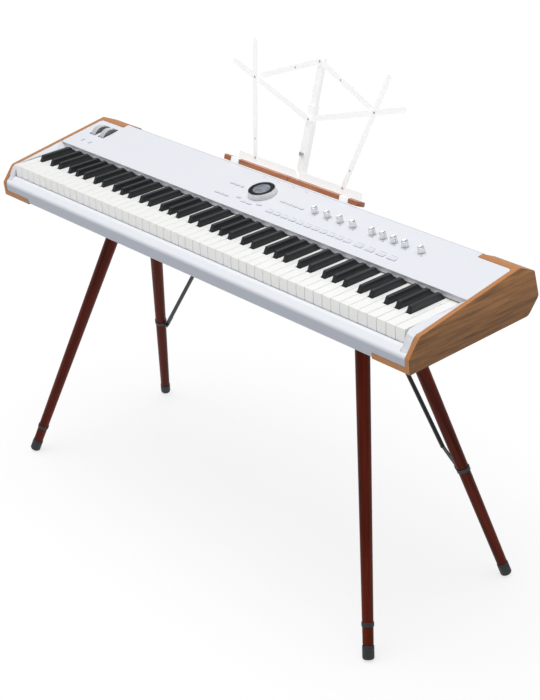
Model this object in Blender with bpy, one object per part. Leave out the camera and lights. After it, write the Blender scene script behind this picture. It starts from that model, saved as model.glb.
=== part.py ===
"""Digital piano with 88 keys on a four-legged wooden stand, with a folding music desk.

Shapes are written in millimetres in the keyboard's own frame: x along the keys with the treble
side positive, y from the player towards the back, z up. Its zero is the middle of the white keys'
front edge, at the top of the white keys. world() turns that into metres with the floor at z = 0
and the object's bounding box centred on x = 0 and y = 0.
"""
import math

import bmesh
import bpy
from mathutils import Matrix, Vector

MM = 0.001
KEY_HEIGHT = 700.0          # white key tops above the floor
BOX_MID_Y = 158.12          # y of the bounding box's middle, in the keyboard's frame
GAP = 0.3                   # clearance between pieces that touch

# Keyboard
WHITE_COUNT = 52
WHITE_PITCH = 23.5
KEY_GAP = 1.0
FRONT_BLOCK = 50.0          # length of a white key in front of the black keys
TAIL_END = 157.0
RAIL_FRONT, RAIL_BACK = 160.0, 190.0
WHITE_THICK = 12.0
LIP_THICK, LIP_HEIGHT = 3.5, 27.8
BLACK_WIDTH, BLACK_TOP_WIDTH = 12.2, 9.4
BLACK_FRONT, BLACK_REAR = 52.0, 141.0
BLACK_TOP_FRONT, BLACK_TOP_REAR = 57.5, 132.0
BLACK_HEIGHT = 12.5
BLACK_SINK, BLACK_LEVER = -3.0, -12.0
BLACK_SLOT = 14.4
BLACK_OFFSET = {"C": -3.0, "D": 3.0, "F": -4.5, "G": 0.0, "A": 4.5}
KEY_PIVOT = (0.0, 188.0, -6.0)
SINGLE_WHITE = {23: "key_c4", 24: "key_d4", 25: "key_e4"}
SINGLE_BLACK = {23: "key_cs4", 24: "key_ds4"}

# Case
HALF_WIDTH = 639.0          # outside of the wooden cheeks
CHEEK_THICK = 10.0
RETURN_X = 546.0            # inner end of the cheeks' wrapped corners
CASE_HALF = HALF_WIDTH - CHEEK_THICK - GAP
NOSE = (-20.0, -43.0)
BROW = (8.0, -7.5)
TOP_REAR = (271.0, 35.8)
REAR_TOP = (311.0, 17.5)
REAR_LOW = (325.0, -38.0)
BOTTOM_REAR = (297.0, -70.0)
BOTTOM_FRONT = (-18.0, -74.0)
BOTTOM_PLATE = -61.5        # top of the cheeks' bottom return
CASE_BOTTOM = -61.2
SLOPE = (TOP_REAR[1] - BROW[1]) / (TOP_REAR[0] - BROW[0])
TILT = math.atan(SLOPE)
PANEL_SINK = 0.5            # panel surface below the wood's top edge
PANEL_FRONT, PANEL_REAR = 140.5, 273.2
PANEL_CORNER_REAR = 259.2   # rear edge beside the cheeks' returns
RETURN_FRONT = 260.0        # front edge of those returns
PANEL_THICK = 3.0
RISER = [(143.0, 12.0), (141.4, 2.6), (144.4, 2.6), (146.0, 12.6)]
FELT_Y, FELT_Z = (141.6, 144.4), (0.5, 2.3)
REAR_LIP = (274.1, 34.3)    # front edge of the rear panel, behind the top panel
REAR_TOP_EDGE, REAR_SHOULDER = (279.0, 33.3), (309.0, 3.0)
REAR_WALL, REAR_FOOT = 3.0, -67.0
RAIL_LEDGE = -27.6          # top of the front rail, just below the keys' lips
RAIL_LOW, RAIL_INNER = -71.0, -44.0
RAIL_FACE, RAIL_REAR = -0.7, 8.0
BLOCK_INNER = 612.5         # inner face of the key blocks
BLOCK_FOOT = -36.4          # underside of the key blocks where they sit on the front rail

# Controls on the panel, as places in the keyboard's x and y
WHEEL_X = {"pitch_wheel": -588.0, "mod_wheel": -556.0}
WHEEL_Y, WHEEL_RADIUS, WHEEL_WIDTH, WHEEL_SINK = 222.0, 25.0, 17.0, 15.0
SLOT_WIDTH, SLOT_LENGTH = 22.0, 46.0
DIAL_PLACE, DIAL_HEIGHT = (-7.0, 214.5), 12.0
DIAL_BASE_R, DIAL_TOP_R, DIAL_BORE_R, SCREEN_R = 30.3, 29.2, 28.2, 27.8
KNOB_Y = 216.0
KNOB_X = [151.0 + 36.4 * i for i in range(4)] + [314.0 + 29.4 * i for i in range(4)] + [444.5]
KNOB_R, KNOB_SKIRT_R, KNOB_HEIGHT, KNOB_SKIRT = 7.0, 7.8, 13.0, 2.2
BUTTON_PROUD, CARRIER_TOP, CARRIER_THICK = 1.2, -5.0, 2.0
MENU_ROWS = [(x, y, 12.0, 5.0) for y in (212.5, 169.5) for x in (-101.0, -86.0, -71.0)]
MENU_ROWS += [(-40.0, 178.0, 12.0, 5.0), (-18.0, 170.5, 12.0, 5.0)]
MENU_ROWS += [(0.0, 170.5, 12.0, 5.0), (23.0, 178.0, 12.0, 5.0)]
MENU_ROWS += [(59.0 + 18.0 * i, 212.5, 14.0, 5.0) for i in range(4)]
PRESET_ROWS = [(63.0 + 22.8 * i, 170.0, 17.0, 6.5) for i in range(11)]
PART_ROWS = [(321.5 + 30.0 * i, 170.0, 21.0, 8.5) for i in range(4)]
OCTAVE_PLACES = [(-586.0, 171.0), (-558.0, 171.0)]
OCTAVE_R = 4.5

# Stand
LEG_TOP_X, LEG_FOOT_X = 372.0, 572.0
LEG_TOP_Y = {"front": 127.0, "rear": 198.0}
LEG_FOOT_Y = {"front": -69.0, "rear": 333.0}
LEG_TOP_R, LEG_END_R = 15.6, 10.9
LEG_TOP_Z = CASE_BOTTOM - GAP
FOOT_Z, FOOT_LENGTH, FOOT_R = -KEY_HEIGHT, 30.0, 11.9
FOOT_END, FOOT_ROUND = 1.6, 5.0   # the rounded end stops short of the floor point on the axis
CLAMP_Z, CLAMP_LENGTH, CLAMP_WALL, CLAMP_GAP = -455.0, 8.5, 1.1, 0.4
LUG_REACH, LUG_HALF = 11.5, 1.4   # the clamp's lug: how far it stands out, half its thickness
BRACE_BEND, BRACE_HIGH, BRACE_R = (444.0, 276.8, -424.0), (186.0, 272.8, -65.0), 4.6
BRACE_STRIP = 2.4                 # thickness of the brace's flattened lower end

# Music desk: s runs up the tilted desk, n out of its face, from a line behind the ledge
DESK_ORIGIN = (0.0, 308.2, 37.9)
DESK_TILT = math.radians(17.3)
BAR_WIDTH, BAR_THICK = 12.0, 1.5
CENTRE = (0.0, 122.0)
CROWN = (0.0, 243.0)
TRAY_PIVOT_X = 6.0
UPRIGHT_FOOT = (135.5, 9.0)
SIDE_JOINT = (181.0, 174.8)
UPRIGHT_TOP = (201.0, 248.5)
EAR_END = (256.0, 196.6)
LEDGE_INNER, LEDGE_HALF = 1.0, 214.0
LEDGE_S, LEDGE_N = (-10.4, -1.2), (13.6, 29.1)
TRAY_END, TRAY_LOW, TRAY_TOP, TRAY_THICK = 190.0, -11.8, 12.0, 1.2
HOOK_X, HOOK_GAP, HOOK_LIP = (157.0, 181.0), 0.2, 8.0
TILT_PIVOT, BARREL_R = (0.0, -14.0, -9.0), 4.6
BRACKET_Y = 297.0           # where the bracket's plate sits on the rear edge

COLOURS = {                 # base colour, roughness, metallic
    "panel_white": ((0.76, 0.78, 0.85), 0.45, 0.0),
    "case_grey": ((0.52, 0.54, 0.60), 0.5, 0.0),
    "walnut": ((0.30, 0.14, 0.055), 0.4, 0.0),
    "mahogany": ((0.17, 0.045, 0.02), 0.3, 0.0),
    "ledge_wood": ((0.42, 0.14, 0.065), 0.4, 0.0),
    "white_key": ((0.90, 0.90, 0.88), 0.25, 0.0),
    "black_key": ((0.02, 0.024, 0.028), 0.4, 0.0),
    "felt": ((0.35, 0.07, 0.035), 0.95, 0.0),
    "steel": ((0.55, 0.56, 0.58), 0.4, 1.0),
    "circuit": ((0.03, 0.22, 0.09), 0.5, 0.0),
    "wheel_grey": ((0.55, 0.57, 0.6), 0.3, 0.0),
    "silver": ((0.75, 0.76, 0.78), 0.25, 1.0),
    "screen": ((0.015, 0.016, 0.02), 0.12, 0.0),
    "rubber": ((0.015, 0.015, 0.017), 0.8, 0.0),
    "black_metal": ((0.02, 0.022, 0.024), 0.45, 0.3),
    "desk_white": ((0.88, 0.88, 0.89), 0.4, 0.0),
}


def clear_scene():
    for obj in list(bpy.data.objects):
        bpy.data.objects.remove(obj, do_unlink=True)


def world(point):
    """Metres in the object's frame, from millimetres in the keyboard's frame."""
    x, y, z = point
    return Vector((x, y - BOX_MID_Y, z + KEY_HEIGHT)) * MM


def material(name):
    found = bpy.data.materials.get(name)
    if found:
        return found
    colour, roughness, metallic = COLOURS[name]
    made = bpy.data.materials.new(name)
    made.use_nodes = True
    shader = made.node_tree.nodes["Principled BSDF"]
    shader.inputs["Base Color"].default_value = (*colour, 1.0)
    shader.inputs["Roughness"].default_value = roughness
    shader.inputs["Metallic"].default_value = metallic
    return made


def make(name, bm, material_name, origin=(0.0, 0.0, 0.0), smooth=False):
    """An object from a bmesh in millimetres, with its origin at a point of the same frame."""
    bmesh.ops.remove_doubles(bm, verts=bm.verts, dist=1e-4)
    bmesh.ops.recalc_face_normals(bm, faces=bm.faces)
    home = world(origin)
    for vert in bm.verts:
        vert.co = world(vert.co) - home
    mesh = bpy.data.meshes.new(name)
    bm.to_mesh(mesh)
    bm.free()
    mesh.materials.append(material(material_name))
    if smooth:
        mesh.shade_smooth()
        mesh.set_sharp_from_angle(angle=math.radians(35))
    obj = bpy.data.objects.new(name, mesh)
    bpy.context.scene.collection.objects.link(obj)
    obj.location = home
    return obj


def combine(obj, bm, operation):
    """Adds or cuts a shape, given in millimetres, with a hidden operand."""
    tool = make(obj.name + "_" + operation.lower(), bm, "steel")
    tool.hide_render = True
    tool.display_type = "WIRE"
    modifier = obj.modifiers.new(operation.title(), "BOOLEAN")
    modifier.operation = operation
    modifier.object = tool
    return obj


def merge(target, source):
    """Appends one bmesh to another and frees it."""
    mesh = bpy.data.meshes.new("joined")
    source.to_mesh(mesh)
    source.free()
    target.from_mesh(mesh)
    bpy.data.meshes.remove(mesh)
    return target


def prism(outline, axis, low, high):
    """A flat outline swept along an axis: (y, z) along x, (x, z) along y, (x, y) along z."""
    order = {"x": lambda a, b, c: (c, a, b), "y": lambda a, b, c: (a, c, b),
             "z": lambda a, b, c: (a, b, c)}[axis]
    bm = bmesh.new()
    rings = [[bm.verts.new(order(a, b, c)) for a, b in outline] for c in (low, high)]
    bm.faces.new(rings[0])
    bm.faces.new(rings[1])
    for i in range(len(outline)):
        j = (i + 1) % len(outline)
        bm.faces.new((rings[0][i], rings[0][j], rings[1][j], rings[1][i]))
    bmesh.ops.recalc_face_normals(bm, faces=bm.faces)
    return bm


def block(x, y, z):
    """A box from three (low, high) pairs."""
    return prism([(x[0], y[0]), (x[1], y[0]), (x[1], y[1]), (x[0], y[1])], "z", z[0], z[1])


def rounded(corners, steps=4):
    """An outline whose corners (a, b, radius) are replaced by arcs."""
    points = []
    count = len(corners)
    for i, (a, b, radius) in enumerate(corners):
        here = Vector((a, b))
        before = (Vector(corners[i - 1][:2]) - here).normalized()
        after = (Vector(corners[(i + 1) % count][:2]) - here).normalized()
        if radius <= 0.0:
            points.append((a, b))
            continue
        half = before.angle(after) / 2.0
        middle = here + (before + after).normalized() * (radius / math.sin(half))
        start = here + before * (radius / math.tan(half)) - middle
        end = here + after * (radius / math.tan(half)) - middle
        turn = start.angle_signed(end)
        for k in range(steps + 1):
            arm = start.copy()
            arm.rotate(Matrix.Rotation(-turn * k / steps, 2))
            points.append(tuple(middle + arm))
    return points


def turned(profile, segments):
    """A solid of revolution about z from (radius, height) pairs; a radius of zero closes an end."""
    bm = bmesh.new()
    rings = []
    for radius, height in profile:
        if radius == 0.0:
            rings.append([bm.verts.new((0.0, 0.0, height))])
            continue
        rings.append([bm.verts.new((radius * math.cos(math.tau * k / segments),
                                    radius * math.sin(math.tau * k / segments), height))
                      for k in range(segments)])
    for low, high in zip(rings, rings[1:]):
        for k in range(segments):
            j = (k + 1) % segments
            ring = [low[k % len(low)], low[j % len(low)], high[j % len(high)], high[k % len(high)]]
            bm.faces.new(dict.fromkeys(ring))
    bmesh.ops.recalc_face_normals(bm, faces=bm.faces)
    return bm


def tube_ring(inner, outer, low, high, segments):
    """A plain ring about z: a closed band between two radii."""
    profile = [(inner, low), (outer, low), (outer, high), (inner, high), (inner, low)]
    bm = turned(profile, segments)
    bmesh.ops.remove_doubles(bm, verts=bm.verts, dist=1e-5)
    bmesh.ops.recalc_face_normals(bm, faces=bm.faces)
    return bm


def moved(bm, matrix):
    bmesh.ops.transform(bm, matrix=matrix, verts=bm.verts)
    return bm


def mirrored(bm, side):
    """The same shape on the treble side (1) or on the bass side (-1)."""
    if side < 0:
        bmesh.ops.transform(bm, matrix=Matrix.Diagonal((-1.0, 1.0, 1.0, 1.0)), verts=bm.verts)
        bmesh.ops.reverse_faces(bm, faces=bm.faces)
    return bm


def axis_frame(start, end):
    """A matrix whose z runs from start to end, with its origin at start."""
    start, end = Vector(start), Vector(end)
    return Matrix.Translation(start) @ (end - start).to_track_quat("Z", "Y").to_matrix().to_4x4()


def wood_top(y):
    """Height of the cheeks' top edge above the white keys."""
    return BROW[1] + SLOPE * (y - BROW[0])


def panel_frame(x, y):
    """The panel's frame at a place on its surface: x, then up the slope, then out of it."""
    spot = Vector((x, y, wood_top(y) - PANEL_SINK))
    return Matrix.Translation(spot) @ Matrix.Rotation(TILT, 4, "X")


def desk_frame():
    """The desk's frame: x, s up the desk and n out of its face."""
    up = Vector((0.0, math.sin(DESK_TILT), math.cos(DESK_TILT)))
    out = Vector((0.0, -math.cos(DESK_TILT), math.sin(DESK_TILT)))
    axes = Matrix((Vector((1.0, 0.0, 0.0)), up, out)).transposed().to_4x4()
    return Matrix.Translation(Vector(DESK_ORIGIN)) @ axes


def on_desk(x, s, n):
    return tuple(desk_frame() @ Vector((x, s, n)))


# ---------------------------------------------------------------- keyboard

def white_left(index):
    return (index - WHITE_COUNT / 2) * WHITE_PITCH


def has_black(index):
    """Whether a black key stands at the right of this white key; key 0 is an A."""
    return 0 <= index < WHITE_COUNT - 1 and "ABCDEFG"[index % 7] in BLACK_OFFSET


def black_x(index):
    return white_left(index + 1) + BLACK_OFFSET["ABCDEFG"[index % 7]]


def white_spans(index):
    """The x ranges of a white key's front block and of its tail between the black keys."""
    left = white_left(index) + KEY_GAP / 2
    right = white_left(index + 1) - KEY_GAP / 2
    tail_left = max(left, black_x(index - 1) + BLACK_SLOT / 2) if has_black(index - 1) else left
    tail_right = min(right, black_x(index) - BLACK_SLOT / 2) if has_black(index) else right
    return (left, right), (tail_left, tail_right)


def plan_face(bm, verts, points):
    """A face at z = 0 that shares its corners with its neighbours."""
    ring = []
    for point in points:
        key = (round(point[0], 4), round(point[1], 4))
        if key not in verts:
            verts[key] = bm.verts.new((*key, 0.0))
        ring.append(verts[key])
    return bm.faces.new(dict.fromkeys(ring))


def white_keys(indices, with_rail):
    """White keys cut out of one plate, with front lips, joined behind where with_rail is set."""
    bm, verts = bmesh.new(), {}
    tail_end = RAIL_FRONT if with_rail else TAIL_END
    tails, lips = [], []
    for index in indices:
        (left, right), (tail_left, tail_right) = white_spans(index)
        lips.append(((left + right) / 2, LIP_THICK / 2))
        plan_face(bm, verts, [(left, 0), (right, 0), (right, LIP_THICK), (left, LIP_THICK)])
        plan_face(bm, verts, [(left, LIP_THICK), (right, LIP_THICK), (right, FRONT_BLOCK),
                              (tail_right, FRONT_BLOCK), (tail_left, FRONT_BLOCK),
                              (left, FRONT_BLOCK)])
        plan_face(bm, verts, [(tail_left, FRONT_BLOCK), (tail_right, FRONT_BLOCK),
                              (tail_right, tail_end), (tail_left, tail_end)])
        tails += [tail_left, tail_right]
    if with_rail:
        for start, end in zip(tails, tails[1:]):
            plan_face(bm, verts, [(start, RAIL_FRONT), (end, RAIL_FRONT),
                                  (end, RAIL_BACK), (start, RAIL_BACK)])
    grown = bmesh.ops.extrude_face_region(bm, geom=bm.faces[:])
    drop(bm, grown, WHITE_THICK)
    under = [face for face in bm.faces if face.calc_center_median().z < -WHITE_THICK + 0.01
             and face.calc_center_median().y < LIP_THICK]
    grown = bmesh.ops.extrude_face_region(bm, geom=under)
    drop(bm, grown, LIP_HEIGHT - WHITE_THICK)
    bmesh.ops.delete(bm, geom=under, context="FACES_ONLY")
    return bm


def drop(bm, grown, depth):
    """Moves freshly extruded corners down."""
    verts = [item for item in grown["geom"] if isinstance(item, bmesh.types.BMVert)]
    bmesh.ops.translate(bm, verts=verts, vec=(0.0, 0.0, -depth))


def black_key(index, lever_end):
    """A black key: a tapered cap on a lever that runs back between the white keys."""
    x = black_x(index)
    half, top_half = BLACK_WIDTH / 2, BLACK_TOP_WIDTH / 2
    bm = bmesh.new()
    levels = [(BLACK_FRONT, lever_end, half, BLACK_LEVER), (BLACK_FRONT, lever_end, half, BLACK_SINK)]
    rings = [[bm.verts.new((x + dx * w, y, z)) for dx, y in
              ((-1, front), (1, front), (1, BLACK_REAR), (1, rear), (-1, rear), (-1, BLACK_REAR))]
             for front, rear, w, z in levels]
    cap = [bm.verts.new((x + dx * top_half, y, BLACK_HEIGHT)) for dx, y in
           ((-1, BLACK_TOP_FRONT), (1, BLACK_TOP_FRONT), (1, BLACK_TOP_REAR), (-1, BLACK_TOP_REAR))]
    low, high = rings
    bm.faces.new(low)
    for i in range(6):
        j = (i + 1) % 6
        bm.faces.new((low[i], low[j], high[j], high[i]))
    bm.faces.new(high[2:6])
    base = [high[0], high[1], high[2], high[5]]
    bm.faces.new(cap)
    for i in range(4):
        j = (i + 1) % 4
        bm.faces.new((base[i], base[j], cap[j], cap[i]))
    bmesh.ops.recalc_face_normals(bm, faces=bm.faces)
    return bm


def build_keys():
    whites = [i for i in range(WHITE_COUNT) if i not in SINGLE_WHITE]
    make("white_keys", white_keys(whites, True), "white_key", KEY_PIVOT)
    for index, name in SINGLE_WHITE.items():
        middle = (white_left(index) + white_left(index + 1)) / 2
        make(name, white_keys([index], False), "white_key", (middle, *KEY_PIVOT[1:]))
    rail_front, rail_back, rail_low, rail_high = 150.0, 185.0, -24.0, -15.0
    blacks = bmesh.new()
    for index in range(WHITE_COUNT):
        if has_black(index) and index not in SINGLE_BLACK:
            merge(blacks, black_key(index, rail_front))
            x, half = black_x(index), BLACK_WIDTH / 2 - 1.0
            merge(blacks, block((x - half, x + half), (rail_front - 6.0, rail_front + 4.0),
                                (rail_low + 2.0, BLACK_LEVER + 4.0)))
    group = make("black_keys", blacks, "black_key", KEY_PIVOT)
    ends = (black_x(0) - 6.0, black_x(WHITE_COUNT - 3) + 6.0)
    combine(group, block(ends, (rail_front - 1.0, rail_back), (rail_low, rail_high)), "UNION")
    group.modifiers[0].use_self = True
    for index, name in SINGLE_BLACK.items():
        make(name, black_key(index, rail_front - 1.0), "black_key",
             (black_x(index), *KEY_PIVOT[1:]))


# ---------------------------------------------------------------- case

def cheek_outline():
    return rounded([(*NOSE, 5.0), (*BROW, 14.0), (*TOP_REAR, 2.0), (*REAR_TOP, 8.0),
                    (*REAR_LOW, 9.0), (*BOTTOM_REAR, 14.0), (*BOTTOM_FRONT, 2.0)], 3)


def build_cheeks():
    inner = HALF_WIDTH - CHEEK_THICK
    cavity = [(-60.0, 90.0), (250.0, 90.0), (250.0, 24.0), (299.0, 10.0), (314.5, -38.0),
              (291.0, BOTTOM_PLATE), (-60.0, BOTTOM_PLATE)]
    corner = rounded([(500.0, 100.0, 0.0), (inner, 100.0, 0.0),
                      (inner, RETURN_FRONT, 8.0), (500.0, RETURN_FRONT, 0.0)])
    for name, side in (("cheek_left", -1), ("cheek_right", 1)):
        shell = prism(cheek_outline(), "x", RETURN_X, HALF_WIDTH)
        obj = make(name, mirrored(shell, side), "walnut")
        combine(obj, mirrored(prism(cavity, "x", 500.0, inner), side), "DIFFERENCE")
        combine(obj, mirrored(prism(corner, "z", 10.0, 90.0), side), "DIFFERENCE")


def build_rail():
    profile = rounded([(RAIL_FACE, RAIL_LEDGE, 0.0), (-6.5, RAIL_LEDGE, 8.5),
                       (NOSE[0] + 0.5, NOSE[1], 16.0), (BOTTOM_FRONT[0] + 0.8, RAIL_LOW, 1.5),
                       (RAIL_REAR, RAIL_LOW, 0.0), (RAIL_REAR, RAIL_INNER, 0.0),
                       (RAIL_FACE, RAIL_INNER, 0.0)], 5)
    rail = make("front_rail", prism(profile, "x", -CASE_HALF, CASE_HALF), "panel_white")
    for side in (-1, 1):
        notch = block((RETURN_X - GAP, HALF_WIDTH), (-40.0, 40.0), (-90.0, BOTTOM_PLATE + GAP))
        seat = block((BLOCK_INNER - GAP, HALF_WIDTH), (-40.0, 40.0), (BLOCK_FOOT - GAP, 0.0))
        combine(rail, mirrored(merge(notch, seat), side), "DIFFERENCE")


def build_key_blocks():
    """Blocks beside the keys: nearly level with the keys inside, rising with the wood outside."""
    spine = [(-13.0, BLOCK_FOOT, BLOCK_FOOT), (-8.0, -29.0, -30.0), (-2.0, -16.0, -18.5),
             (3.0, -6.5, -11.0), (10.0, -1.6, -6.6), (22.0, 0.2, None), (60.0, 1.8, None),
             (110.0, 2.8, None), (PANEL_FRONT - GAP, 3.2, None)]
    foot = [(PANEL_FRONT - GAP, -56.9), (12.0, -56.9), (12.0, BLOCK_FOOT)]
    for name, side in (("key_block_left", -1), ("key_block_right", 1)):
        bm = bmesh.new()
        rings = []
        for x, outer in ((BLOCK_INNER, False), (CASE_HALF, True)):
            ring = []
            for y, inner_z, outer_z in spine:
                limit = wood_top(y) - PANEL_SINK if outer_z is None else outer_z
                ring.append(bm.verts.new((x, y, limit if outer else inner_z)))
            ring += [bm.verts.new((x, y, z)) for y, z in foot]
            rings.append(ring)
            bm.faces.new(ring)
        for i in range(len(rings[0])):
            j = (i + 1) % len(rings[0])
            bm.faces.new((rings[0][i], rings[0][j], rings[1][j], rings[1][i]))
        make(name, mirrored(bm, side), "panel_white")


def build_case():
    bottom = [(10.0, CASE_BOTTOM), (285.0, CASE_BOTTOM), (285.0, 0.0), (281.0, 0.0),
              (281.0, CASE_BOTTOM + 4.0), (10.0, CASE_BOTTOM + 4.0)]
    make("bottom_case", prism(bottom, "x", -CASE_HALF, CASE_HALF), "case_grey")
    rear = [REAR_LIP, REAR_TOP_EDGE, REAR_SHOULDER, (319.0, -38.0), (293.0, REAR_FOOT),
            (285.5, REAR_FOOT), (285.5, REAR_FOOT + REAR_WALL), (291.7, REAR_FOOT + REAR_WALL),
            (315.7, -37.3), (306.2, 1.6), (REAR_TOP_EDGE[0] - 1.7, REAR_TOP_EDGE[1] - 3.3),
            (REAR_LIP[0], REAR_LIP[1] - 3.4)]
    make("rear_panel", prism(rear, "x", GAP - RETURN_X, RETURN_X - GAP), "case_grey")
    bed = [(8.5, -56.9), (197.0, -56.9), (197.0, -14.0), (191.5, -14.0), (191.5, -50.0),
           (14.0, -50.0), (14.0, -42.0), (8.5, -42.0)]
    make("keybed_frame", prism(bed, "x", -611.0, 611.0), "steel")
    make("main_board", block((-260.0, 420.0), (204.0, 274.0), (-56.9, -55.3)), "circuit")
    make("key_felt", block((-611.0, 611.0), FELT_Y, FELT_Z), "felt")


def panel_plan():
    """Half of the panel's outline on its own sloping surface, for the treble side."""
    stretch = 1.0 / math.cos(TILT)
    rear, corner = [(y - PANEL_FRONT) * stretch for y in (PANEL_REAR, PANEL_CORNER_REAR)]
    return [(CASE_HALF, 0.0, 0.0), (CASE_HALF, corner, 8.0 - GAP),
            (RETURN_X - GAP, corner, 0.0), (RETURN_X - GAP, rear, 0.0)]


def on_panel(bm, x, y):
    return moved(bm, panel_frame(x, y))


def build_panel():
    half = panel_plan()
    outline = half + [(-x, v, r) for x, v, r in reversed(half)]
    plate = prism(rounded(outline), "z", -PANEL_THICK, 0.0)
    panel = make("top_panel", on_panel(plate, 0.0, PANEL_FRONT), "panel_white")
    combine(panel, prism(RISER, "x", -CASE_HALF, CASE_HALF), "UNION")
    holes = bmesh.new()
    for x in WHEEL_X.values():
        merge(holes, hole(x, WHEEL_Y, SLOT_WIDTH, SLOT_LENGTH))
    for x, y, width, length in MENU_ROWS + PRESET_ROWS + PART_ROWS:
        merge(holes, hole(x, y, width + 0.8, length + 0.8))
    for x, y in OCTAVE_PLACES:
        merge(holes, on_panel(turned([(0, -8), (OCTAVE_R + 0.4, -8), (OCTAVE_R + 0.4, 8), (0, 8)],
                                     16), x, y))
    combine(panel, holes, "DIFFERENCE")


def hole(x, y, width, length):
    return on_panel(block((-width / 2, width / 2), (-length / 2, length / 2), (-8.0, 8.0)), x, y)


# ---------------------------------------------------------------- controls

def build_wheels():
    for name, x in WHEEL_X.items():
        disc = turned([(0, -WHEEL_WIDTH / 2), (WHEEL_RADIUS - 1.5, -WHEEL_WIDTH / 2),
                       (WHEEL_RADIUS, 1.5 - WHEEL_WIDTH / 2), (WHEEL_RADIUS, WHEEL_WIDTH / 2 - 1.5),
                       (WHEEL_RADIUS - 1.5, WHEEL_WIDTH / 2), (0, WHEEL_WIDTH / 2)], 32)
        hub = panel_frame(x, WHEEL_Y) @ Matrix.Translation((0.0, 0.0, -WHEEL_SINK))
        moved(disc, hub @ Matrix.Rotation(math.pi / 2, 4, "Y"))
        make(name, disc, "wheel_grey", tuple(hub.translation), smooth=True)


def build_dial():
    centre = tuple(panel_frame(*DIAL_PLACE).translation)
    profile = [(DIAL_BORE_R, GAP), (DIAL_BASE_R, GAP), (DIAL_BASE_R, 2.5), (DIAL_TOP_R, DIAL_HEIGHT),
               (DIAL_BORE_R, DIAL_HEIGHT), (DIAL_BORE_R, GAP)]
    make("dial_ring", on_panel(turned(profile, 48), *DIAL_PLACE), "silver", centre, smooth=True)
    face = turned([(0, 2.4), (SCREEN_R, 2.4), (SCREEN_R, DIAL_HEIGHT - 0.4),
                   (0, DIAL_HEIGHT - 0.4)], 48)
    make("dial_screen", on_panel(face, *DIAL_PLACE), "screen", centre, smooth=True)


def build_knobs():
    profile = [(0, GAP), (KNOB_SKIRT_R, GAP), (KNOB_SKIRT_R, KNOB_SKIRT), (KNOB_R, KNOB_SKIRT + 0.8),
               (KNOB_R - 0.3, KNOB_HEIGHT - 0.6), (KNOB_R - 0.9, KNOB_HEIGHT), (0, KNOB_HEIGHT)]
    for i, x in enumerate(KNOB_X, 1):
        centre = tuple(panel_frame(x, KNOB_Y).translation)
        make(f"knob_{i}", on_panel(turned(profile, 20), x, KNOB_Y), "silver", centre, smooth=True)


def button_group(name, caps, carrier, centre):
    """Button caps that stand through the panel, on one carrier below it."""
    group = bmesh.new()
    for cap in caps:
        merge(group, cap)
    obj = make(name, group, "panel_white", tuple(panel_frame(*centre).translation))
    plate = prism(carrier, "z", CARRIER_TOP - CARRIER_THICK, CARRIER_TOP)
    return combine(obj, on_panel(plate, 0.0, centre[1]), "UNION")


def cap_block(x, y, width, length):
    return on_panel(block((-width / 2, width / 2), (-length / 2, length / 2),
                          (CARRIER_TOP - CARRIER_THICK / 2, BUTTON_PROUD)), x, y)


def rectangle(x, y):
    return [(x[0], y[0]), (x[1], y[0]), (x[1], y[1]), (x[0], y[1])]


def build_buttons():
    ell = [(-109.0, -6.0), (34.0, -6.0), (34.0, 18.0), (124.0, 18.0), (124.0, 48.0), (-109.0, 48.0)]
    button_group("menu_buttons", [cap_block(*row) for row in MENU_ROWS], ell, (0.0, 170.0))
    button_group("preset_buttons", [cap_block(*row) for row in PRESET_ROWS],
                 rectangle((52.0, 302.0), (-5.0, 5.0)), (177.0, 170.0))
    button_group("part_buttons", [cap_block(*row) for row in PART_ROWS],
                 rectangle((308.0, 425.0), (-5.0, 5.0)), (366.5, 170.0))
    low = CARRIER_TOP - CARRIER_THICK / 2
    rounds = [on_panel(turned([(0, low), (OCTAVE_R, low), (OCTAVE_R, BUTTON_PROUD),
                               (0, BUTTON_PROUD)], 16), x, y) for x, y in OCTAVE_PLACES]
    button_group("octave_buttons", rounds, rectangle((-592.0, -552.0), (-5.0, 5.0)),
                 (-572.0, 171.0))


# ---------------------------------------------------------------- stand

def leg_axis(end):
    """Where a treble-side leg's axis meets the case and the floor."""
    top = Vector((LEG_TOP_X, LEG_TOP_Y[end], LEG_TOP_Z))
    return top, Vector((LEG_FOOT_X, LEG_FOOT_Y[end], FOOT_Z))


def leg_radius(z):
    share = (LEG_TOP_Z - z) / (LEG_TOP_Z - FOOT_Z)
    return LEG_TOP_R + (LEG_END_R - LEG_TOP_R) * share


def sliced(bm, height, keep_below):
    """Cuts a shape level at a height and closes the cut."""
    normal = (0.0, 0.0, 1.0) if keep_below else (0.0, 0.0, -1.0)
    cut = bmesh.ops.bisect_plane(bm, geom=bm.verts[:] + bm.edges[:] + bm.faces[:],
                                 plane_co=(0.0, 0.0, height), plane_no=normal, clear_outer=True)
    edges = [item for item in cut["geom_cut"] if isinstance(item, bmesh.types.BMEdge)]
    bmesh.ops.contextual_create(bm, geom=edges)
    return bm


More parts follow.
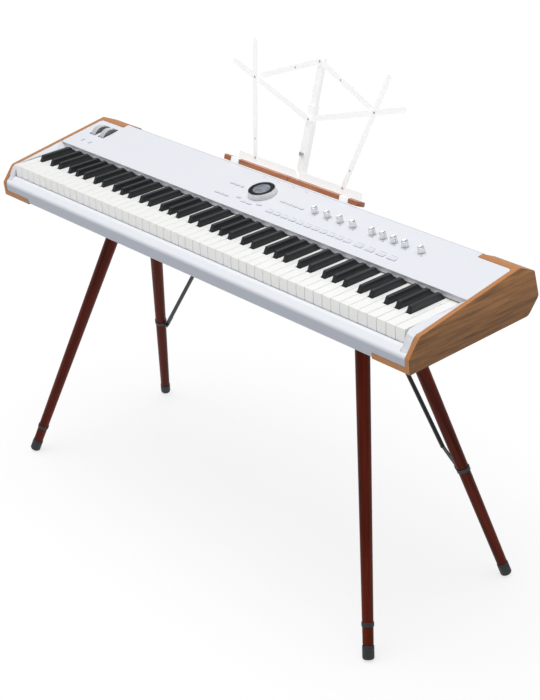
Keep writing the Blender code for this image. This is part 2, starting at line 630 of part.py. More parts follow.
def build_legs():
    for end in ("front", "rear"):
        top, floor = leg_axis(end)
        along = (floor - top).normalized()
        reach = (floor - top).length
        foot_top, tip = reach - FOOT_LENGTH, reach - FOOT_END
        curve = [(FOOT_R - FOOT_ROUND * (1 - math.cos(math.radians(a))),
                  tip - FOOT_ROUND * (1 - math.sin(math.radians(a)))) for a in (0, 30, 60, 90)]
        wood = turned([(0, -20), (LEG_TOP_R, -20), (LEG_END_R, foot_top - GAP),
                       (0, foot_top - GAP)], 20)
        boot = turned([(0, foot_top), (FOOT_R - 0.6, foot_top), (FOOT_R, foot_top + 1.5),
                       *curve, (0, tip)], 20)
        for name, side in (("left", -1), ("right", 1)):
            frame = axis_frame(top, top + along)
            leg = sliced(moved(wood.copy(), frame), LEG_TOP_Z, True)
            foot = sliced(moved(boot.copy(), frame), FOOT_Z, False)
            make(f"leg_{end}_{name}", mirrored(leg, side), "mahogany", smooth=True)
            make(f"foot_{end}_{name}", mirrored(foot, side), "rubber", smooth=True)
        wood.free()
        boot.free()


def clamp_frame():
    """The treble-side clamp's frame: out from the leg to the bass, down along the leg, forward."""
    top, floor = leg_axis("rear")
    centre = top.lerp(floor, (top.z - CLAMP_Z) / (top.z - floor.z))
    down = (floor - top).normalized()
    out = (Vector((-1.0, 0.0, 0.0)) + down * down.x).normalized()
    axes = Matrix((out, down, out.cross(down))).transposed().to_4x4()
    return Matrix.Translation(centre) @ axes


def build_braces():
    """Clamps on the rear legs, and braces whose flattened lower ends bolt to the clamps' lugs."""
    frame = clamp_frame()
    bore = leg_radius(CLAMP_Z) + CLAMP_GAP
    reach, half = bore + LUG_REACH, CLAMP_LENGTH / 2
    low, high = Vector(BRACE_BEND), Vector(BRACE_HIGH)
    bend = frame.inverted() @ low
    to_axis = Matrix.Rotation(-math.pi / 2, 4, "X")
    for name, side in (("left", -1), ("right", 1)):
        ring = moved(tube_ring(bore, bore + CLAMP_WALL, -half, half, 24), frame @ to_axis)
        clamp = make(f"leg_clamp_{name}", mirrored(ring, side), "black_metal", smooth=True)
        lug = block((bore + CLAMP_WALL / 2, reach), (-half, half), (-LUG_HALF, LUG_HALF))
        combine(clamp, mirrored(moved(lug, frame), side), "UNION")
        rod = turned([(0, 0), (BRACE_R, 0), (BRACE_R, (high - low).length),
                      (0, (high - low).length)], 12)
        moved(rod, axis_frame(low, high))
        brace = make(f"brace_{name}", mirrored(rod, side), "black_metal", smooth=True)
        near = -LUG_HALF - GAP
        strip = bar(bend.xy, (reach - 4.5, 0.0), 10.0, near - BRACE_STRIP, near, 5.0, 4.0)
        combine(brace, mirrored(moved(strip, frame), side), "UNION")
        shoe = block((166.0, 196.0), (265.0, 280.5), (LEG_TOP_Z - 5.0, LEG_TOP_Z))
        combine(brace, mirrored(shoe, side), "UNION")


# ---------------------------------------------------------------- music desk

def bar(p, q, width, low, high, past_p=6.0, past_q=6.0):
    """A flat strip with round ends between two points of the desk, from n low to n high."""
    p, q = Vector(p), Vector(q)
    along = (q - p).normalized()
    start, end = p - along * (past_p - width / 2), q + along * (past_q - width / 2)
    outline = []
    for centre, base in ((end, -90.0), (start, 90.0)):
        for k in range(6):
            angle = math.atan2(along.y, along.x) + math.radians(base + 36.0 * k)
            outline.append((centre.x + width / 2 * math.cos(angle),
                            centre.y + width / 2 * math.sin(angle)))
    return prism(outline, "z", low, high)


def on_desk_shape(bm, side=1):
    return mirrored(moved(bm, desk_frame()), side)


def build_desk_bracket():
    """A plate on the sloping rear edge of the case with two ears that hold the desk's pivot."""
    pivot = Vector(on_desk(*TILT_PIVOT))
    run, fall = REAR_SHOULDER[0] - REAR_TOP_EDGE[0], REAR_TOP_EDGE[1] - REAR_SHOULDER[1]
    slope = math.atan2(fall, run)
    seat = Vector((0.0, BRACKET_Y, REAR_TOP_EDGE[1] - (BRACKET_Y - REAR_TOP_EDGE[0]) * fall / run))
    frame = Matrix.Translation(seat) @ Matrix.Rotation(-slope, 4, "X")
    plate = moved(block((-24.0, 24.0), (-11.0, 11.0), (GAP, 3.0)), frame)
    obj = make("desk_bracket", plate, "desk_white")
    feet = [(frame @ Vector((0.0, v, 1.5))).yz for v in (-8.0, 8.0)]
    outline = [(*feet[0], 0.0), (*feet[1], 0.0), (pivot.y + 4.2, pivot.z - 3.5, 2.0),
               (pivot.y + 4.2, pivot.z + 4.2, 3.5), (pivot.y - 4.2, pivot.z + 4.2, 3.5)]
    for side in (-1, 1):
        ear = prism(rounded(outline), "x", 12.4, 15.4)
        combine(obj, mirrored(ear, side), "UNION")


def channel(half, front, back, wall, low, high):
    """A bar of U section, open at the back, along the desk's middle from s low to s high."""
    inner, face = half - wall, front - wall
    outline = [(-half, front), (half, front), (half, back), (inner, back), (inner, face),
               (-inner, face), (-inner, back), (-half, back)]
    return moved(prism(outline, "y", low, high), desk_frame())


def build_centre_bars():
    lower = channel(10.0, -2.0, -14.0, 1.8, TILT_PIVOT[1] - 2.0, 152.0)
    obj = make("centre_bar_lower", lower, "desk_white", on_desk(*TILT_PIVOT))
    barrel = turned([(0, -11.8), (BARREL_R, -11.8), (BARREL_R, 11.8), (0, 11.8)], 16)
    moved(barrel, Matrix.Translation(on_desk(*TILT_PIVOT)) @ Matrix.Rotation(math.pi / 2, 4, "Y"))
    combine(obj, barrel, "UNION")
    upper = channel(7.8, -4.4, -13.0, 1.6, -6.0, CROWN[1] + 6.5)
    make("centre_bar_upper", upper, "desk_white", on_desk(*CROWN, -5.2))


def build_desk_arms():
    layers = {1: {"diagonal": -1.7, "arm": -4.0}, -1: {"diagonal": 0.1, "arm": -2.2}}
    for name, side in (("left", -1), ("right", 1)):
        low = layers[side]["diagonal"]
        shape = on_desk_shape(bar(CENTRE, EAR_END, BAR_WIDTH, low, low + BAR_THICK, 6.0, 4.0), side)
        make(f"desk_diagonal_{name}", shape, "desk_white", on_desk(*CENTRE, low))
        low = layers[side]["arm"]
        shape = on_desk_shape(bar(CROWN, SIDE_JOINT, BAR_WIDTH, low, low + BAR_THICK), side)
        make(f"desk_arm_{name}", shape, "desk_white", on_desk(*CROWN, low))
        shape = on_desk_shape(bar(UPRIGHT_FOOT, UPRIGHT_TOP, BAR_WIDTH, 1.8, 1.8 + BAR_THICK), side)
        foot_x, foot_s = UPRIGHT_FOOT
        make(f"desk_upright_{name}", shape, "desk_white", on_desk(side * foot_x, foot_s, 1.8))


def build_trays():
    """Half trays, each a bent sheet with a hook round the wooden ledge that it carries."""
    floor_s, front = TRAY_LOW + TRAY_THICK, LEDGE_N[1] + HOOK_GAP
    lip = LEDGE_S[1] + HOOK_GAP
    sheet = [(0.0, TRAY_TOP), (TRAY_THICK, TRAY_TOP), (TRAY_THICK, floor_s),
             (LEDGE_N[1], floor_s), (LEDGE_N[1], TRAY_LOW), (0.0, TRAY_LOW)]
    nose = front + TRAY_THICK
    hook = rounded([(LEDGE_N[1] - 5.0, TRAY_LOW, 0.0), (nose, TRAY_LOW, 1.0),
                    (nose, lip + TRAY_THICK, 1.0), (nose - HOOK_LIP, lip + TRAY_THICK, 0.0),
                    (nose - HOOK_LIP, lip, 0.0), (front, lip, 0.0), (front, floor_s, 0.0),
                    (LEDGE_N[1] - 5.0, floor_s, 0.0)], 2)
    swap = Matrix(((1, 0, 0, 0), (0, 0, 1, 0), (0, 1, 0, 0), (0, 0, 0, 1)))
    inner = LEDGE_INNER + 0.2
    for name, side in (("left", -1), ("right", 1)):
        pivot = on_desk(side * TRAY_PIVOT_X, 0.0, 0.0)
        strip = moved(prism(sheet, "x", inner, TRAY_END), swap)
        tray = make(f"desk_tray_{name}", on_desk_shape(strip, side), "desk_white", pivot)
        clasp = moved(prism(hook, "x", *HOOK_X), swap)
        combine(tray, on_desk_shape(clasp, side), "UNION")
        corner = prism([(inner - 2.2, 0.75), (10.2, 12.2), (inner - 2.2, 12.2)], "z", -1.0, 2.2)
        combine(tray, on_desk_shape(corner, side), "DIFFERENCE")
        plan = [(LEDGE_INNER, LEDGE_N[0]), (LEDGE_HALF, LEDGE_N[0]),
                (LEDGE_HALF, LEDGE_N[0] + 7.0), (LEDGE_HALF - 9.0, LEDGE_N[1]),
                (LEDGE_INNER, LEDGE_N[1])]
        ledge = moved(prism(plan, "z", *LEDGE_S), swap)
        make(f"ledge_{name}", on_desk_shape(ledge, side), "ledge_wood", pivot)


def main():
    clear_scene()
    build_keys()
    build_cheeks()
    build_rail()
    build_key_blocks()
    build_case()
    build_panel()
    build_wheels()
    build_dial()
    build_knobs()
    build_buttons()
    build_legs()
    build_braces()
    build_desk_bracket()
    build_centre_bars()
    build_desk_arms()
    build_trays()


main()
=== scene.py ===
import math

import bmesh
import bpy
from mathutils import Matrix, Vector

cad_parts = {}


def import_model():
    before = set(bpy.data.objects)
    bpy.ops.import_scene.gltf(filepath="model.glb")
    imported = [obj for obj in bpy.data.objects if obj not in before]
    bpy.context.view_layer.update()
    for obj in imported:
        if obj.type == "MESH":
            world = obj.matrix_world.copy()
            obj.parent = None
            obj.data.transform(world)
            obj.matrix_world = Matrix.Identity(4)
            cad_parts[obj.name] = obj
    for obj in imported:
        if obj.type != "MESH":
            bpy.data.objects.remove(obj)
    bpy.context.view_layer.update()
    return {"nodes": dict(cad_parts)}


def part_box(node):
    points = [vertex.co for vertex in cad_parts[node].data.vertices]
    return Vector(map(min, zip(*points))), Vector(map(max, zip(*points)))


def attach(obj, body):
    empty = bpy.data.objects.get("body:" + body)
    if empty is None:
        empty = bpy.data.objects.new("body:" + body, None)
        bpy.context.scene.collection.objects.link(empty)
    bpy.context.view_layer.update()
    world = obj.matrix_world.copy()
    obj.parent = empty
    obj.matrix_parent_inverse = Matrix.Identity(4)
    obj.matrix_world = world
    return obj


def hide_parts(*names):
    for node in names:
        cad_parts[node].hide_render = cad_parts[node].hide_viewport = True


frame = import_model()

NODES = frame["nodes"]
MM = 0.001

# The keyboard's own frame, in millimetres: zero is the middle of the white keys' front edge, at
# the top of the white keys; x to the treble, y to the back, z up.
KEY_HEIGHT = 700.0
FELT_FRONT = 141.6
MID_Y = FELT_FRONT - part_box("key_felt")[0][1] / MM

WHITE_COUNT, WHITE_PITCH, KEY_GAP = 52, 23.5, 1.0
FRONT_BLOCK, TAIL_END = 50.0, 157.0
WHITE_THICK, LIP_THICK, LIP_HEIGHT = 12.0, 3.5, 27.8
BLACK_SLOT = 14.4
BLACK_WIDTH, BLACK_TOP_WIDTH = 12.4, 9.2
BLACK_FRONT, BLACK_REAR, BLACK_HEIGHT = 52.0, 141.0, 12.6
BLACK_OFFSET = {"C": -3.0, "D": 3.0, "F": -4.5, "G": 0.0, "A": 4.5}
SINGLES = {("white", 23): "key_c4", ("white", 24): "key_d4", ("white", 25): "key_e4",
           ("black", 23): "key_cs4", ("black", 24): "key_ds4"}

BROW, TOP_REAR = (8.0, -7.5), (271.0, 35.8)
SLOPE = (TOP_REAR[1] - BROW[1]) / (TOP_REAR[0] - BROW[0])
TILT = math.atan(SLOPE)
PANEL_SINK = 0.5

DESK_ORIGIN, DESK_TILT = (0.0, 308.2, 37.9), math.radians(17.3)


# ---------------------------------------------------------------- geometry helpers

def world(point):
    x, y, z = point
    return Vector((x, y - MID_Y, z + KEY_HEIGHT)) * MM


def finish_mesh(name, bm, material, matrix=None, bevel=0.0, segments=2, angle=35.0, smooth=True):
    """An object from a bmesh in millimetres of the keyboard's frame, or of a frame within it."""
    bmesh.ops.remove_doubles(bm, verts=bm.verts, dist=1e-4)
    bmesh.ops.recalc_face_normals(bm, faces=bm.faces)
    if matrix is None:
        for vert in bm.verts:
            vert.co = world(vert.co)
        place = Matrix.Identity(4)
    else:
        bmesh.ops.scale(bm, vec=(MM, MM, MM), verts=bm.verts)
        place = matrix.copy()
        place.translation = world(matrix.translation)
    mesh = bpy.data.meshes.new(name)
    bm.to_mesh(mesh)
    bm.free()
    mesh.materials.append(material)
    if smooth:
        mesh.shade_smooth()
        mesh.set_sharp_from_angle(angle=math.radians(angle))
    obj = bpy.data.objects.new(name, mesh)
    bpy.context.scene.collection.objects.link(obj)
    obj.matrix_world = place
    if bevel > 0.0:
        add_bevel(obj, bevel, segments)
    return obj


def add_bevel(obj, width, segments=2, angle=40.0):
    modifier = obj.modifiers.new("Bevel", "BEVEL")
    modifier.width = width * MM
    modifier.segments = segments
    modifier.limit_method = "ANGLE"
    modifier.angle_limit = math.radians(angle)
    modifier.harden_normals = True
    modifier.use_clamp_overlap = True
    return modifier


def merge(target, source):
    mesh = bpy.data.meshes.new("joined")
    source.to_mesh(mesh)
    source.free()
    target.from_mesh(mesh)
    bpy.data.meshes.remove(mesh)
    return target


def prism(outline, axis, low, high):
    """A flat outline swept along an axis: (y, z) along x, (x, z) along y, (x, y) along z."""
    order = {"x": lambda a, b, c: (c, a, b), "y": lambda a, b, c: (a, c, b),
             "z": lambda a, b, c: (a, b, c)}[axis]
    bm = bmesh.new()
    rings = [[bm.verts.new(order(a, b, c)) for a, b in outline] for c in (low, high)]
    bm.faces.new(rings[0])
    bm.faces.new(rings[1])
    for i in range(len(outline)):
        j = (i + 1) % len(outline)
        bm.faces.new((rings[0][i], rings[0][j], rings[1][j], rings[1][i]))
    bmesh.ops.recalc_face_normals(bm, faces=bm.faces)
    return bm


def block(x, y, z):
    return prism([(x[0], y[0]), (x[1], y[0]), (x[1], y[1]), (x[0], y[1])], "z", z[0], z[1])


def rounded(corners, steps=5):
    """An outline whose corners (a, b, radius) are replaced by arcs."""
    points = []
    count = len(corners)
    for i, (a, b, radius) in enumerate(corners):
        here = Vector((a, b))
        before = (Vector(corners[i - 1][:2]) - here).normalized()
        after = (Vector(corners[(i + 1) % count][:2]) - here).normalized()
        if radius <= 0.0:
            points.append((a, b))
            continue
        half = before.angle(after) / 2.0
        middle = here + (before + after).normalized() * (radius / math.sin(half))
        start = here + before * (radius / math.tan(half)) - middle
        end = here + after * (radius / math.tan(half)) - middle
        turn = start.angle_signed(end)
        for k in range(steps + 1):
            arm = start.copy()
            arm.rotate(Matrix.Rotation(-turn * k / steps, 2))
            points.append(tuple(middle + arm))
    return points


def rounded_box(width, length, radius, steps=4):
    w, h = width / 2.0, length / 2.0
    return rounded([(-w, -h, radius), (w, -h, radius), (w, h, radius), (-w, h, radius)], steps)


def turned(profile, segments=48):
    """A solid of revolution about z from (radius, height) pairs; radius 0 closes an end."""
    bm = bmesh.new()
    rings = []
    for radius, height in profile:
        if radius == 0.0:
            rings.append([bm.verts.new((0.0, 0.0, height))])
            continue
        rings.append([bm.verts.new((radius * math.cos(math.tau * k / segments),
                                    radius * math.sin(math.tau * k / segments), height))
                      for k in range(segments)])
    for low, high in zip(rings, rings[1:]):
        for k in range(segments):
            j = (k + 1) % segments
            ring = [low[k % len(low)], low[j % len(low)], high[j % len(high)], high[k % len(high)]]
            bm.faces.new(dict.fromkeys(ring))
    bmesh.ops.remove_doubles(bm, verts=bm.verts, dist=1e-5)
    bmesh.ops.recalc_face_normals(bm, faces=bm.faces)
    return bm


def moved(bm, matrix):
    bmesh.ops.transform(bm, matrix=matrix, verts=bm.verts)
    return bm


def axis_frame(start, end):
    start, end = Vector(start), Vector(end)
    return Matrix.Translation(start) @ (end - start).to_track_quat("Z", "Y").to_matrix().to_4x4()


def panel_z(y):
    return BROW[1] + SLOPE * (y - BROW[0]) - PANEL_SINK


def panel_frame(x, y, lift=0.0):
    place = Matrix.Translation((x, y, panel_z(y))) @ Matrix.Rotation(TILT, 4, "X")
    return place @ Matrix.Translation((0.0, 0.0, lift))


def desk_frame(x=0.0, s=0.0, n=0.0):
    up = Vector((0.0, math.sin(DESK_TILT), math.cos(DESK_TILT)))
    out = Vector((0.0, -math.cos(DESK_TILT), math.sin(DESK_TILT)))
    axes = Matrix((Vector((1.0, 0.0, 0.0)), up, out)).transposed().to_4x4()
    return Matrix.Translation(Vector(DESK_ORIGIN)) @ axes @ Matrix.Translation((x, s, n))


# ---------------------------------------------------------------- materials

class Nodes:
    """A material with its Principled shader, and short calls for adding nodes to it."""

    def __init__(self, name, colour, roughness=0.4, metallic=0.0, **inputs):
        self.material = bpy.data.materials.new(name)
        self.material.use_nodes = True
        self.tree = self.material.node_tree
        self.shader = self.tree.nodes["Principled BSDF"]
        self.set("Base Color", (*colour, 1.0))
        self.set("Roughness", roughness)
        self.set("Metallic", metallic)
        for key, value in inputs.items():
            self.set(key.replace("_", " "), value)

    def set(self, socket, value):
        self.shader.inputs[socket].default_value = value

    def add(self, kind, values=None, **settings):
        node = self.tree.nodes.new(kind)
        for key, value in settings.items():
            setattr(node, key, value)
        for key, value in (values or {}).items():
            node.inputs[key].default_value = value
        return node

    def link(self, source, target):
        self.tree.links.new(source, target)

    def noise(self, scale, detail=3.0, stretch=(1.0, 1.0, 1.0), roughness=0.5, warp=0.0):
        coords = self.add("ShaderNodeTexCoord")
        mapping = self.add("ShaderNodeMapping", {"Scale": stretch})
        texture = self.add("ShaderNodeTexNoise", {"Scale": scale, "Detail": detail,
                                                  "Roughness": roughness, "Distortion": warp})
        self.link(coords.outputs["Object"], mapping.inputs["Vector"])
        self.link(mapping.outputs["Vector"], texture.inputs["Vector"])
        return texture.outputs["Fac"]

    def ramp(self, value, stops):
        ramp = self.add("ShaderNodeValToRGB")
        elements = ramp.color_ramp.elements
        while len(elements) < len(stops):
            elements.new(0.5)
        for element, (position, colour) in zip(elements, stops):
            element.position = position
            element.color = (*colour, 1.0)
        self.link(value, ramp.inputs["Fac"])
        return ramp.outputs["Color"]

    def mix(self, factor, first, second, blend="MIX"):
        """Mixes two colours, each given as a colour or as an output socket."""
        node = self.add("ShaderNodeMix", data_type="RGBA", blend_type=blend)
        for index, item in ((0, factor), (6, first), (7, second)):
            if isinstance(item, bpy.types.NodeSocket):
                self.link(item, node.inputs[index])
            else:
                node.inputs[index].default_value = item if index == 0 else (*item, 1.0)
        return node.outputs[2]

    def spread(self, value, socket, low, high):
        """Maps a 0 to 1 value onto a range of a shader input."""
        node = self.add("ShaderNodeMapRange", {"To Min": low, "To Max": high})
        self.link(value, node.inputs["Value"])
        self.link(node.outputs["Result"], self.shader.inputs[socket])

    def component(self, kind, output, axis):
        """One axis of a vector that an input node gives."""
        parts = self.add("ShaderNodeSeparateXYZ")
        self.link(self.add(kind).outputs[output], parts.inputs["Vector"])
        return parts.outputs[axis]

    def rise(self, value, low, high, start=0.0):
        """A value that climbs from start to 1 between a low and a high input."""
        node = self.add("ShaderNodeMapRange", {"From Min": low, "From Max": high, "To Min": start})
        self.link(value, node.inputs["Value"])
        return node.outputs["Result"]

    def bump(self, value, strength, distance=0.0002):
        node = self.add("ShaderNodeBump", {"Strength": strength, "Distance": distance})
        self.link(value, node.inputs["Height"])
        self.link(node.outputs["Normal"], self.shader.inputs["Normal"])


PAINTED_SHADE_DARKEST = 0.62        # share of the colour that the painted shade leaves at the bottom of its height range


def moulded(made, roughness, grain=900.0, strength=0.15):
    """A moulded surface: a fine grain, and gloss that varies gently across it."""
    made.bump(made.noise(grain, 2.0), strength, 0.00005)
    made.spread(made.noise(40.0), "Roughness", roughness * 0.85, roughness * 1.15)
    return made.material


def plastic(name, colour, roughness, grain=900.0, strength=0.15, **inputs):
    return moulded(Nodes(name, colour, roughness, **inputs), roughness, grain, strength)


def painted_height_shade(made, low, high):
    """Painted shade: a grey that rises from the bottom of a height range to its top."""
    share = made.rise(made.component("ShaderNodeTexCoord", "Object", "Z"), low, high, PAINTED_SHADE_DARKEST)
    return made.ramp(share, [(0.0, (0.0, 0.0, 0.0)), (1.0, (1.0, 1.0, 1.0))])


def wood(name, dark, light, stretch, scale=9.0, roughness=0.35, coat=0.3, edge=None, gloss=0.5,
         heights=None):
    """Streaked wood, its grain along the axis that stretch leaves short. edge is the colour of
    the faces that look up or forward, a painted highlight that makes them lighter than the sides.
    heights is a range over which a painted shade lightens the wood from the bottom to the top."""
    made = Nodes(name, light, roughness, Coat_Weight=coat, Coat_Roughness=0.25,
                 Specular_IOR_Level=gloss)
    streak = made.noise(scale, 6.0, stretch, 0.62, 0.6)
    fine = made.noise(scale * 7.0, 4.0, stretch, 0.6, 0.3)
    mix = made.add("ShaderNodeMath", {1: 0.3}, operation="MULTIPLY_ADD")
    made.link(fine, mix.inputs[0])
    made.link(streak, mix.inputs[2])
    middle = tuple((a + b) / 2 for a, b in zip(dark, light))
    colour = made.ramp(mix.outputs[0], [(0.48, dark), (0.62, middle), (0.80, light)])
    # painted shade: the wood is darker towards the bottom of the height range
    if heights:
        colour = made.mix(1.0, colour, painted_height_shade(made, *heights), "MULTIPLY")
    # painted highlight: faces that look up or forward take the lighter edge colour, the sides keep
    # the darker wood
    if edge:
        size = made.add("ShaderNodeMath", operation="ABSOLUTE")
        made.link(made.component("ShaderNodeNewGeometry", "Normal", "X"), size.inputs[0])
        face = made.rise(size.outputs[0], 0.55, 0.75)
        colour = made.mix(face, made.mix(0.3, edge, colour, "MULTIPLY"), colour)
    made.link(colour, made.shader.inputs["Base Color"])
    made.bump(mix.outputs[0], 0.12, 0.0002)
    made.spread(streak, "Roughness", roughness * 0.8, roughness * 1.25)
    return made.material


def painted_shade_plastic(name, under, over, roughness):
    """Moulded plastic with painted shade: darker where the surface faces down than where it faces up.
    """
    made = Nodes(name, over, roughness)
    up = made.rise(made.component("ShaderNodeNewGeometry", "Normal", "Z"), 0.0, 0.5)
    made.link(made.mix(up, under, over), made.shader.inputs["Base Color"])
    return moulded(made, roughness)


def metal(name, colour, roughness, metallic=1.0, grain=600.0, stretch=(1.0, 1.0, 1.0)):
    made = Nodes(name, colour, roughness, metallic)
    value = made.noise(grain, 2.0, stretch)
    made.bump(value, 0.08, 0.00005)
    made.spread(value, "Roughness", roughness * 0.8, roughness * 1.2)
    return made.material


def fibre(name, dark, light):
    made = Nodes(name, light, 0.95, Sheen_Weight=0.4)
    value = made.noise(1500.0, 4.0)
    made.link(made.ramp(value, [(0.3, dark), (0.7, light)]), made.shader.inputs["Base Color"])
    made.bump(value, 0.6, 0.0003)
    return made.material


PANEL = plastic("panel white", (0.725, 0.745, 0.79), 0.42)
# the rail's faces that look down carry painted shade
RAIL = painted_shade_plastic("rail white", (0.43, 0.46, 0.53), (0.86, 0.88, 0.93), 0.42)
CASE = plastic("case grey", (0.50, 0.52, 0.58), 0.5)
PRINT = plastic("print grey", (0.36, 0.38, 0.43), 0.6)
WHITE_KEY = plastic("white key", (0.89, 0.895, 0.88), 0.24, 300.0, 0.04, Coat_Weight=0.15)
BLACK_KEY = plastic("black key", (0.014, 0.017, 0.020), 0.36, 1200.0, 0.25)
FELT = fibre("key felt", (0.16, 0.08, 0.05), (0.38, 0.22, 0.15))
# walnut with painted shade, darker towards its lower edge, and a painted highlight on the faces that
# look up or forward
WALNUT = wood("walnut", (0.175, 0.077, 0.025), (0.43, 0.195, 0.066), (9.0, 0.8, 13.0), 10.0, 0.45,
              0.0, (0.60, 0.28, 0.11), 0.2, (0.645, 0.725))
MAHOGANY = wood("leg wood", (0.035, 0.0035, 0.0015), (0.14, 0.018, 0.007), (30.0, 30.0, 1.2), 1.5,
                0.38, 0.0, None, 0.1)
LEDGE = wood("ledge wood", (0.26, 0.075, 0.030), (0.62, 0.235, 0.110), (0.6, 9.0, 9.0), 9.0)
SILVER = metal("turned aluminium", (0.86, 0.87, 0.88), 0.3)
STEEL = metal("plated steel", (0.62, 0.63, 0.65), 0.35)
RUBBER = plastic("black rubber", (0.018, 0.020, 0.023), 0.6, 700.0, 0.4)
BLACK_METAL = metal("black enamel", (0.022, 0.026, 0.028), 0.38, 0.2)
# painted light: the desk glows a little so that it stays near white
DESK = plastic("desk white", (0.82, 0.82, 0.82), 0.35, 500.0, 0.08,
               Emission_Color=(1.0, 1.0, 1.0, 1.0), Emission_Strength=0.28)
# painted light: the trays glow so that they stay near white
TRAY = plastic("tray white", (0.58, 0.62, 0.63), 0.35, 500.0, 0.08,
               Emission_Color=(1.0, 1.0, 1.0, 1.0), Emission_Strength=0.46)
WHEEL = plastic("wheel grey", (0.58, 0.60, 0.62), 0.28, Coat_Weight=0.5)
WHEEL_SIDE = plastic("wheel side", (0.16, 0.165, 0.175), 0.4)
# near-black liner for the wheel slots: painted shade
SLOT_SHADE = plastic("slot shade liner", (0.05, 0.052, 0.058), 0.55)
DARK_METAL = metal("dark screw", (0.05, 0.05, 0.055), 0.4, 0.7)
RIVET = metal("desk rivet", (0.62, 0.62, 0.64), 0.35, 0.5)
GLOSS = plastic("dial gloss", (0.010, 0.011, 0.013), 0.35, 200.0, 0.02, Specular_IOR_Level=0.12)
CIRCUIT = plastic("circuit board", (0.03, 0.22, 0.09), 0.5)
BUTTON = plastic("button white", (0.66, 0.68, 0.75), 0.4)
DIAL_RING = metal("dial ring", (0.92, 0.93, 0.94), 0.38, 0.4)


def display_material():
    """A switched-off display: grey glass with a soft blue-grey bloom."""
    made = Nodes("dial display", (0.2, 0.22, 0.25), 0.18, Coat_Weight=0.6)
    colour = made.ramp(made.noise(70.0, 1.0), [(0.35, (0.13, 0.15, 0.17)), (0.7, (0.24, 0.29, 0.36))])
    made.link(colour, made.shader.inputs["Base Color"])
    return made.material


DISPLAY = display_material()


def paint(node, material, bevel=0.0, segments=2):
    obj = NODES[node]
    if obj.data.materials:
        obj.data.materials[0] = material
    else:
        obj.data.materials.append(material)
    obj.data.shade_smooth()
    obj.data.set_sharp_from_angle(angle=math.radians(35))
    if bevel:
        add_bevel(obj, bevel, segments)
    return obj


# ---------------------------------------------------------------- camera

CAMERA_PLACE, CAMERA_ANGLES = (2363.0, -1784.0, 1246.0), (49.93, 27.06, -3.05)
SENSOR, LENS, SHIFT = 36.0, 82.44, 0.0014


def place_camera():
    azimuth, elevation, roll = (math.radians(angle) for angle in CAMERA_ANGLES)
    forward = Vector((-math.sin(azimuth) * math.cos(elevation),
                      math.cos(azimuth) * math.cos(elevation), -math.sin(elevation)))
    right = forward.cross(Vector((0.0, 0.0, 1.0))).normalized()
    up = right.cross(forward)
    across = right * math.cos(roll) + up * math.sin(roll)
    upward = up * math.cos(roll) - right * math.sin(roll)
    data = bpy.data.cameras.new("camera")
    data.sensor_width = SENSOR
    data.lens = LENS
    data.shift_x = SHIFT
    camera = bpy.data.objects.new("camera", data)
    turn = Matrix((across, upward, -forward)).transposed().to_4x4()
    camera.matrix_world = Matrix.Translation(world(CAMERA_PLACE)) @ turn
    bpy.context.scene.collection.objects.link(camera)
    bpy.context.scene.camera = camera


# ---------------------------------------------------------------- keys

def white_left(index):
    return (index - WHITE_COUNT / 2) * WHITE_PITCH


def has_black(index):
    """Whether a black key stands at the right of this white key; key 0 is an A."""
    return 0 <= index < WHITE_COUNT - 1 and "ABCDEFG"[index % 7] in BLACK_OFFSET


def black_x(index):
    return white_left(index + 1) + BLACK_OFFSET["ABCDEFG"[index % 7]]


def white_spans(index):
    left = white_left(index) + KEY_GAP / 2
    right = white_left(index + 1) - KEY_GAP / 2
    tail_left = max(left, black_x(index - 1) + BLACK_SLOT / 2) if has_black(index - 1) else left
    tail_right = min(right, black_x(index) - BLACK_SLOT / 2) if has_black(index) else right
    return (left, right), (tail_left, tail_right)


def white_key(index):
    """A moulded white key: a plate with a cut-back tail, and a lip down its front."""
    (left, right), (tail_left, tail_right) = white_spans(index)
    outline = [(left, 0.0), (right, 0.0), (right, FRONT_BLOCK)]
    if tail_right < right:
        outline.append((tail_right, FRONT_BLOCK))
    outline += [(tail_right, TAIL_END), (tail_left, TAIL_END)]
    if tail_left > left:
        outline.append((tail_left, FRONT_BLOCK))
    outline.append((left, FRONT_BLOCK))
    bm = prism(outline, "z", -WHITE_THICK, 0.0)
    bmesh.ops.bisect_plane(bm, geom=bm.verts[:] + bm.edges[:] + bm.faces[:],
                           plane_co=(0.0, LIP_THICK, 0.0), plane_no=(0.0, 1.0, 0.0))
    under = [face for face in bm.faces if face.calc_center_median().z < -WHITE_THICK + 0.01
             and face.calc_center_median().y < LIP_THICK]
    grown = bmesh.ops.extrude_face_region(bm, geom=under)
    verts = [item for item in grown["geom"] if isinstance(item, bmesh.types.BMVert)]
    bmesh.ops.translate(bm, verts=verts, vec=(0.0, 0.0, WHITE_THICK - LIP_HEIGHT))
    bmesh.ops.delete(bm, geom=under, context="FACES_ONLY")
    return bm


def black_key(index):
    """A black key's cap: tapered sides, a raked front and a rear that slopes to the felt."""
    x = black_x(index)
    half, top = BLACK_WIDTH / 2, BLACK_TOP_WIDTH / 2
    sections = [(BLACK_FRONT, -11.0, half), (BLACK_FRONT, -1.0, half),
                (BLACK_FRONT + 5.5, BLACK_HEIGHT, top), (132.5, BLACK_HEIGHT, top),
                (BLACK_REAR, 0.5, half), (BLACK_REAR, -11.0, half)]
    bm = bmesh.new()
    left = [bm.verts.new((x - w, y, z)) for y, z, w in sections]
    right = [bm.verts.new((x + w, y, z)) for y, z, w in sections]
    count = len(sections)
    for i in range(count):
        j = (i + 1) % count
        bm.faces.new((left[i], left[j], right[j], right[i]))
    for side in (left, right):
        bm.faces.new((side[0], side[1], side[4], side[5]))
        bm.faces.new((side[1], side[2], side[3], side[4]))
    bmesh.ops.recalc_face_normals(bm, faces=bm.faces)
    return bm


